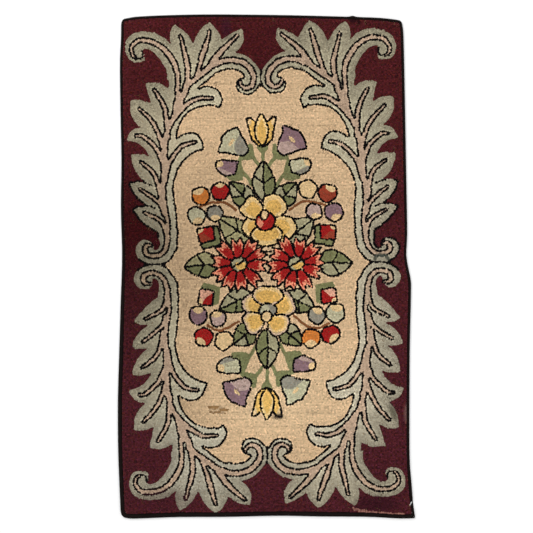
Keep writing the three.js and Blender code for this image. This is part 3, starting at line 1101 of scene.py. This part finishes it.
def loopColours():
    table = np.array([linear(rgb) for rgb in dyeColours.values()])
    x, y = loopPlace[:, 0], loopPlace[:, 1]
    isBurgundy = loopDye == dyeNumber["burgundy"]
    lot = sum(drifting(x, y, size, seed) * amount for size, amount, seed in grain["lots"])
    length, differs = grain["skein"]
    skeins = 4000
    skein = (np.round(y / pile["rowPitch"]) * 37 + np.round(x / length) * 11).astype(int) % skeins
    strip = np.random.default_rng(7).normal(0, differs, skeins)[skein]
    each = ownShade(x, y) * np.where(isBurgundy, grain["burgundy"], grain["wool"])
    shades = table[loopDye] * np.clip(1 + lot + strip + each, 0.4, 1.8)[:, None]
    shades[:, 2] *= 1 + ownShade(x, y) * grain["hue"] * isBurgundy
    return agedAndShaded(shades, x, y)


yarnLoop = {"sides": 6, "crown": 0.36, "widest": 0.735}  # its crown's rise and its widest place, as shares


def loopTemplate():  # one loop of yarn: a round top on a tapered foot
    sides, widest = yarnLoop["sides"], yarnLoop["widest"]
    bpy.ops.mesh.primitive_cone_add(vertices=sides, radius1=1, radius2=0, depth=1, end_fill_type="TRIFAN")
    loop = bpy.context.object
    crown = [v.index for v in loop.data.vertices if math.hypot(v.co.x, v.co.y) < 0.1 and v.co.z < 0]
    for v in loop.data.vertices:
        v.select = v.index in crown
    bpy.ops.object.mode_set(mode="EDIT")
    bpy.ops.mesh.select_mode(type="VERT")
    bpy.ops.transform.translate(value=(0, 0, -yarnLoop["crown"]))
    bpy.ops.mesh.select_all(action="SELECT")
    bpy.ops.transform.resize(value=(1, 1, -widest), center_override=(0, 0, 0))
    bpy.ops.mesh.flip_normals()
    bpy.ops.transform.translate(value=(0, 0, widest / 2))
    bpy.ops.object.mode_set(mode="OBJECT")
    return loop


def copiesOf(template, place, angle, sizes, colours, name):
    mesh = template.data
    points = pointsOf(mesh)
    faces = np.array([p.vertices[:] for p in mesh.polygons])
    count = len(place)
    p = points[None] * sizes[:, None]
    c, s = np.cos(angle)[:, None], np.sin(angle)[:, None]
    x = p[:, :, 0] * c - p[:, :, 1] * s + place[:, None, 0]
    y = p[:, :, 0] * s + p[:, :, 1] * c + place[:, None, 1]
    z = p[:, :, 2] + place[:, None, 2]
    allPoints = np.stack([x, y, z], 2).reshape(-1, 3) / 1000
    allFaces = (faces[None] + np.arange(count)[:, None, None] * len(points)).reshape(-1, faces.shape[1])
    piece = arrayMesh(name, allPoints, allFaces)
    shade = piece.data.attributes.new("dye", "FLOAT_COLOR", "POINT")
    full = np.ones((count, len(points), 4), np.float32)
    full[:, :, :3] = colours[:, None]
    shade.data.foreach_set("color", full.ravel())
    return piece


woolLook = {
    "fibre": 900.0, "tuft": 160.0,  # scales of the streaks and of the uneven tufts
    "streaked": 0.35, "tufted": 0.25,  # how much each changes the dye
    "lit": 0.45,  # painted shade: the share of the dye's brightness left deep between the loops
    "fuzz": 0.0006,  # metres, the fibres' relief
}


def woolShade():  # dyed wool yarn: the loop's own dye, streaked by its fibres, and darkened towards its foot as painted shade between the loops
    wool = Shade("woolPile", Roughness=0.95, Sheen_Weight=0.02, Sheen_Roughness=0.5, Specular_IOR_Level=0.05)
    where = wool.place()
    dye = wool.attribute("dye", "Color")
    fibre, tuft = wool.noise(where, woolLook["fibre"], 3.0), wool.noise(where, woolLook["tuft"])
    clamped = {"operation": "MULTIPLY_ADD", "use_clamp": True}
    # painted shade: the lower a place on a loop, the darker its dye, standing in for the shade in the gaps
    # between loops
    depth = wool.node("ShaderNodeMath", clamped, wool.axis(where, "Z"), 330.0, -1.75)
    streaks = fibre * woolLook["streaked"] + tuft * woolLook["tufted"] + 0.75
    colour = wool.scaled(dye, streaks * (depth * (1 - woolLook["lit"]) + woolLook["lit"]))
    return wool.feed(Base_Color=colour, Normal=wool.bump(fibre, 0.5, woolLook["fuzz"]))


def layUv(piece):  # one flat map over the piece, seen from above
    mesh = piece.data
    layer = mesh.uv_layers.new(name="OFBake")
    index = np.empty(len(mesh.loops), np.int32)
    mesh.loops.foreach_get("vertex_index", index)
    flat = pointsOf(mesh)[index, :2]
    low, high = flat.min(0), flat.max(0)
    spread = (flat - low) / (high - low).max() * 0.98 + 0.01
    layer.data.foreach_set("uv", spread.astype(np.float32).ravel())


pieceGroups = {
    "pile_burgundy_upper": (["burgundy"], 1), "pile_burgundy_lower": (["burgundy"], -1),
    "pile_ecru_upper": (["cream"], 1), "pile_ecru_lower": (["cream"], -1),
    "pile_sage_upper": (["sage"], 1), "pile_sage_lower": (["sage"], -1),
    "pile_rose": (["rose"], 0), "pile_black": (["black"], 0),
}


def buildPile():
    wool = woolShade()
    template = loopTemplate()
    colours = loopColours()
    count = len(loopPlace)
    isLine = loopDye == dyeNumber["black"]
    isFrayed = withinOval(loopPlace, wear["frayed"])
    uneven = random.normal(0, pile["unevenness"], count).clip(*pile["unevenLimits"])
    high = pile["height"] - pile["root"] + uneven + isLine * pile["outline"]["rise"]
    high = high * np.where(isFrayed, random.uniform(*wear["frayedHeight"], count), 1)
    alongSpread, acrossSpread = pile["spread"]
    along = np.full(count, pile["loopPitch"] * alongSpread)
    across = pile["rowPitch"] * acrossSpread * np.where(isLine, pile["outline"]["wider"], 1)
    sizes = np.stack([along, across, high], 1)
    frayed = np.where(isFrayed, wear["frayedBreadth"], 1)
    sizes[:, :2] *= random.normal(1, pile["sizeVaries"], (count, 2)) * frayed[:, None]
    heading = loopAngle + random.normal(0, pile["headingVaries"], count)
    waver = np.where(isLine, pile["outline"]["waver"], pile["waver"])
    stray = random.normal(0, 1, (count, 2)) * waver[:, None]
    place = np.column_stack([loopPlace + stray, np.full(count, pile["root"])])
    named = {dye for group, _ in pieceGroups.values() for dye in group}
    groups = dict(pieceGroups)
    groups["pile_flowers"] = ([dye for dye in dyeColours if dye not in named], 0)
    made = []
    for name, (group, half) in groups.items():
        pick = np.isin(loopDye, [dyeNumber[dye] for dye in group])
        if half:
            pick &= (loopPlace[:, 1] >= 0) if half > 0 else (loopPlace[:, 1] < 0)
        piece = copiesOf(template, place[pick], heading[pick], sizes[pick], colours[pick], name)
        piece.data.materials.append(wool)
        layUv(piece)
        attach(piece, "root")
        print(" ", name, int(pick.sum()), "loops", len(piece.data.polygons), "triangles")
        made.append(piece)
    bpy.data.objects.remove(template)
    return made


pilePieces = buildPile()


def cutSlit(piece):  # the slit near the pointed corner, right through a piece
    bpy.ops.mesh.primitive_cylinder_add(vertices=16, radius=slit["breadth"] / 2, depth=40)
    cutter = bpy.context.object
    for v in cutter.data.vertices:
        if abs(v.co.y) > 0.1:
            v.co.y += math.copysign((slit["length"] - slit["breadth"]) / 2, v.co.y)
    bpy.ops.object.mode_set(mode="EDIT")
    bpy.ops.mesh.select_all(action="SELECT")
    bpy.ops.transform.rotate(value=-slit["lean"], orient_axis="Z", center_override=(0, 0, 0))
    bpy.ops.transform.translate(value=(slit["x"], slit["y"], 0))
    bpy.ops.transform.resize(value=(0.001, 0.001, 0.001), center_override=(0, 0, 0))
    bpy.ops.object.mode_set(mode="OBJECT")
    selectOnly(piece)
    opening = piece.modifiers.new("slit", "BOOLEAN")
    opening.operation = "DIFFERENCE"
    opening.solver = "EXACT"
    opening.object = cutter
    bpy.ops.object.modifier_apply(modifier="slit")
    bpy.data.objects.remove(cutter)


def closeUp(piece):  # ends the work on a solid: its faces turned outward, and the slit cut
    bpy.ops.mesh.select_all(action="SELECT")
    bpy.ops.mesh.normals_make_consistent(inside=False)
    bpy.ops.object.mode_set(mode="OBJECT")
    cutSlit(piece)


foundation = {
    "thickness": 2.0,  # mm
    "thread": 2.2,  # mm from thread to thread of its weave
    "tone": (0.37, 0.22, 0.095),  # natural jute, with its flecks added
}


def burlapShade():
    burlap = Shade("foundationCloth", Roughness=0.9, Specular_IOR_Level=0.1)
    where = burlap.place()
    rate = 1000 * math.pi / foundation["thread"]
    weave = (burlap.axis(where, "X") * rate).sine() * (burlap.axis(where, "Y") * rate).sine()
    fleck = burlap.noise(where, 120.0)
    channels = [weave * (0.2 * tone) + fleck * (0.8 * tone) + 0.7 * tone for tone in foundation["tone"]]
    colour = burlap.node("ShaderNodeCombineColor", {}, *channels)
    return burlap.feed(Base_Color=colour, Normal=burlap.bump(weave, 0.6, 0.0008))


def buildFoundation():
    rimPoints = walked(fieldRim, 8.0)
    mesh = bpy.data.meshes.new("foundation_cloth")
    mesh.from_pydata([(x / 1000, y / 1000, 0.0) for x, y in rimPoints], [], [list(range(len(rimPoints)))])
    cloth = bpy.data.objects.new("foundation_cloth", mesh)
    bpy.context.collection.objects.link(cloth)
    selectOnly(cloth)
    bpy.ops.object.mode_set(mode="EDIT")
    bpy.ops.mesh.select_all(action="SELECT")
    up = {"value": (0, 0, foundation["thickness"] / 1000)}
    bpy.ops.mesh.extrude_region_move(TRANSFORM_OT_translate=up)
    closeUp(cloth)
    cloth.data.materials.append(burlapShade())
    return cloth


foundationCloth = buildFoundation()
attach(foundationCloth, "root")
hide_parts("rug_field")
print("foundation laid:", len(foundationCloth.data.polygons), "faces")


binding = {
    "station": 4.0,  # mm between sections
    "across": [0.1, 0.0, 0.02, 0.12, 0.32, 0.6, 0.85, 0.97, 1.0, 0.9],  # shares of its width, from outside
    "height": [0.2, 1.6, 4.2, 6.0, 6.9, 7.0, 6.4, 5.0, 2.4, 0.2],  # mm
    "fieldGap": 0.3,  # mm, from the field
    "endGap": 0.6,  # mm, between the tape's ends at the pointed corner
    "flattened": 0.7,  # how far the loose tape beside the slit is trodden down
    "pucker": (259, 9, 3.2),  # mm, a fold at the top edge: its place, reach and how far it stands out
    "mitred": 12,  # sections from the pointed corner that are kept off the other end
    "rib": 1.4,  # mm from rib to rib of its weave
    "tone": (0.0075, 0.0052, 0.0046),  # near black
}


def tapeShade():
    tape = Shade("bindingTape", Roughness=0.9, Specular_IOR_Level=0.03)
    along, across = tape.attribute("along", "Fac"), tape.attribute("across", "Fac")
    fade = tape.noise(tape.place(), 30.0)
    fluff = tape.noise(tape.place(), 700.0, 3.0)
    rib = ((along + across * 0.5) * (2000 * math.pi / binding["rib"])).sine() * 0.5 + fluff
    channels = [fade * tone + fluff * tone + rib * (0.3 * tone) for tone in binding["tone"]]
    colour = tape.node("ShaderNodeCombineColor", {}, *channels)
    return tape.feed(Base_Color=colour, Normal=tape.bump(rib, 0.5, 0.0005))


def bindingSections():  # the tape's outer and inner edge, from one end at the corner to the other
    outer = walked(outerRim, binding["station"])
    inner = walked(fieldRim, 0.5)
    tip = outerRim[np.argmax(outerRim[:, 0] - outerRim[:, 1])]
    root = inner[np.argmax(inner[:, 0] - inner[:, 1])]
    outer = np.roll(outer, -int(np.argmin(((outer - tip) ** 2).sum(1))), 0)
    outer[0] = tip
    outer = np.vstack([outer, tip])
    at, reach, out = binding["pucker"]
    outer[:, 1] += out * np.exp(-((outer[:, 0] - at) / reach) ** 2) * (outer[:, 1] > 700)
    near = np.array([inner[np.argmin(((inner - p) ** 2).sum(1))] for p in outer])
    near[[0, -1]] = root
    outward = (outer - near) / np.linalg.norm(outer - near, axis=1, keepdims=True)
    return outer, near + outward * binding["fieldGap"], tip, root


def buildBinding():
    outer, inner, tip, root = bindingSections()
    count, section = len(outer), len(binding["across"])
    share = np.array(binding["across"])[None, :, None]
    xy = outer[:, None] * (1 - share) + inner[:, None] * share
    mitre = (tip - root) / np.linalg.norm(tip - root)
    side = np.array([-mitre[1], mitre[0]])  # points along the walk at the first end
    aside = (xy - root) @ side
    half = binding["endGap"] / 2
    atStart = np.arange(count) < binding["mitred"]
    push = np.maximum(half - aside, 0) * atStart[:, None]
    push = push + np.minimum(-half - aside, 0) * atStart[::-1, None]
    xy = xy + push[:, :, None] * side
    uneven = 1 + 0.04 * drifting(outer[:, 0], outer[:, 1], 40, 21)[:, None]
    atSlit = np.exp(-(slitReach(xy[:, :, 0], xy[:, :, 1]).clip(0) / 6) ** 2)
    lift = np.array(binding["height"])[None] * uneven
    lift = lift * (1 - binding["flattened"] * atSlit)
    points = np.dstack([xy, lift]).reshape(-1, 3) / 1000
    index = np.arange(count * section).reshape(count, section)
    beside = np.roll(index, -1, 1)
    faces = np.stack([index[:-1], index[1:], beside[1:], beside[:-1]], 2).reshape(-1, 4)
    tape = arrayMesh("binding_tape", points, faces)
    selectOnly(tape)
    bpy.ops.object.mode_set(mode="EDIT")
    bpy.ops.mesh.select_all(action="SELECT")
    bpy.ops.mesh.fill_holes(sides=0)
    closeUp(tape)
    far = np.linalg.norm(pointsOf(tape.data)[:, None, :2] - outer[None] / 1000, axis=2)
    walkedTo = distances(outer) / 1000
    for name, values in (("along", walkedTo[far.argmin(1)]), ("across", far.min(1))):
        measure = tape.data.attributes.new(name, "FLOAT", "POINT")
        measure.data.foreach_set("value", values.astype(np.float32))
    tape.data.materials.append(tapeShade())
    return tape


bindingTape = buildBinding()
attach(bindingTape, "root")
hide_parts("edge_binding")
print("binding laid:", len(bindingTape.data.polygons), "faces")


lights = {  # metres and watts
    "name": ["keyLight", "fillLight"],
    "place": [(-1.6, 1.8, 2.6), (1.8, -1.4, 3.0)],
    "size": [2.0, 2.6],
    "power": [60, 30],
}
skyLight = 0.75  # strength of the even white light all round


def makeStage():
    bpy.ops.mesh.primitive_plane_add(size=12)
    floor = bpy.context.object
    floor.name = "studio_floor"
    pale = Shade("paleFloor", Roughness=0.9, Base_Color=(0.9, 0.9, 0.9, 1))
    floor.data.materials.append(pale.material)
    for name, place, size, power in zip(*lights.values()):
        light = bpy.data.lights.new(name, "AREA")
        light.size = size
        light.energy = power
        lamp = bpy.data.objects.new(name, light)
        bpy.context.collection.objects.link(lamp)
        lamp.location = place
        away = math.atan2(math.hypot(place[0], place[1]), place[2])
        lamp.rotation_euler = (away, 0, math.atan2(place[1], place[0]) + math.pi / 2)
    world = bpy.data.worlds.new("studio")
    world.use_nodes = True
    sky = world.node_tree.nodes["Background"].inputs
    sky["Color"].default_value = (1, 1, 1, 1)
    sky["Strength"].default_value = skyLight
    bpy.context.scene.world = world
    bpy.context.scene.view_settings.view_transform = "Standard"


camera = {
    "lens": 85.0,  # mm
    "sensor": 36.0,  # mm
    "frame": 1.599,  # metres across the picture
    "look": (0.0, 0.0, 0.007),  # the place that it faces, in metres
}


def makeCamera():
    view = bpy.data.cameras.new("photoCamera")
    view.lens = camera["lens"]
    view.sensor_width = camera["sensor"]
    eye = bpy.data.objects.new("photoCamera", view)
    bpy.context.collection.objects.link(eye)
    x, y, z = camera["look"]
    eye.location = (x, y, z + camera["frame"] * camera["lens"] / camera["sensor"])
    bpy.context.scene.camera = eye


makeStage()
makeCamera()
print("stage set:", len(lights["name"]), "lights")
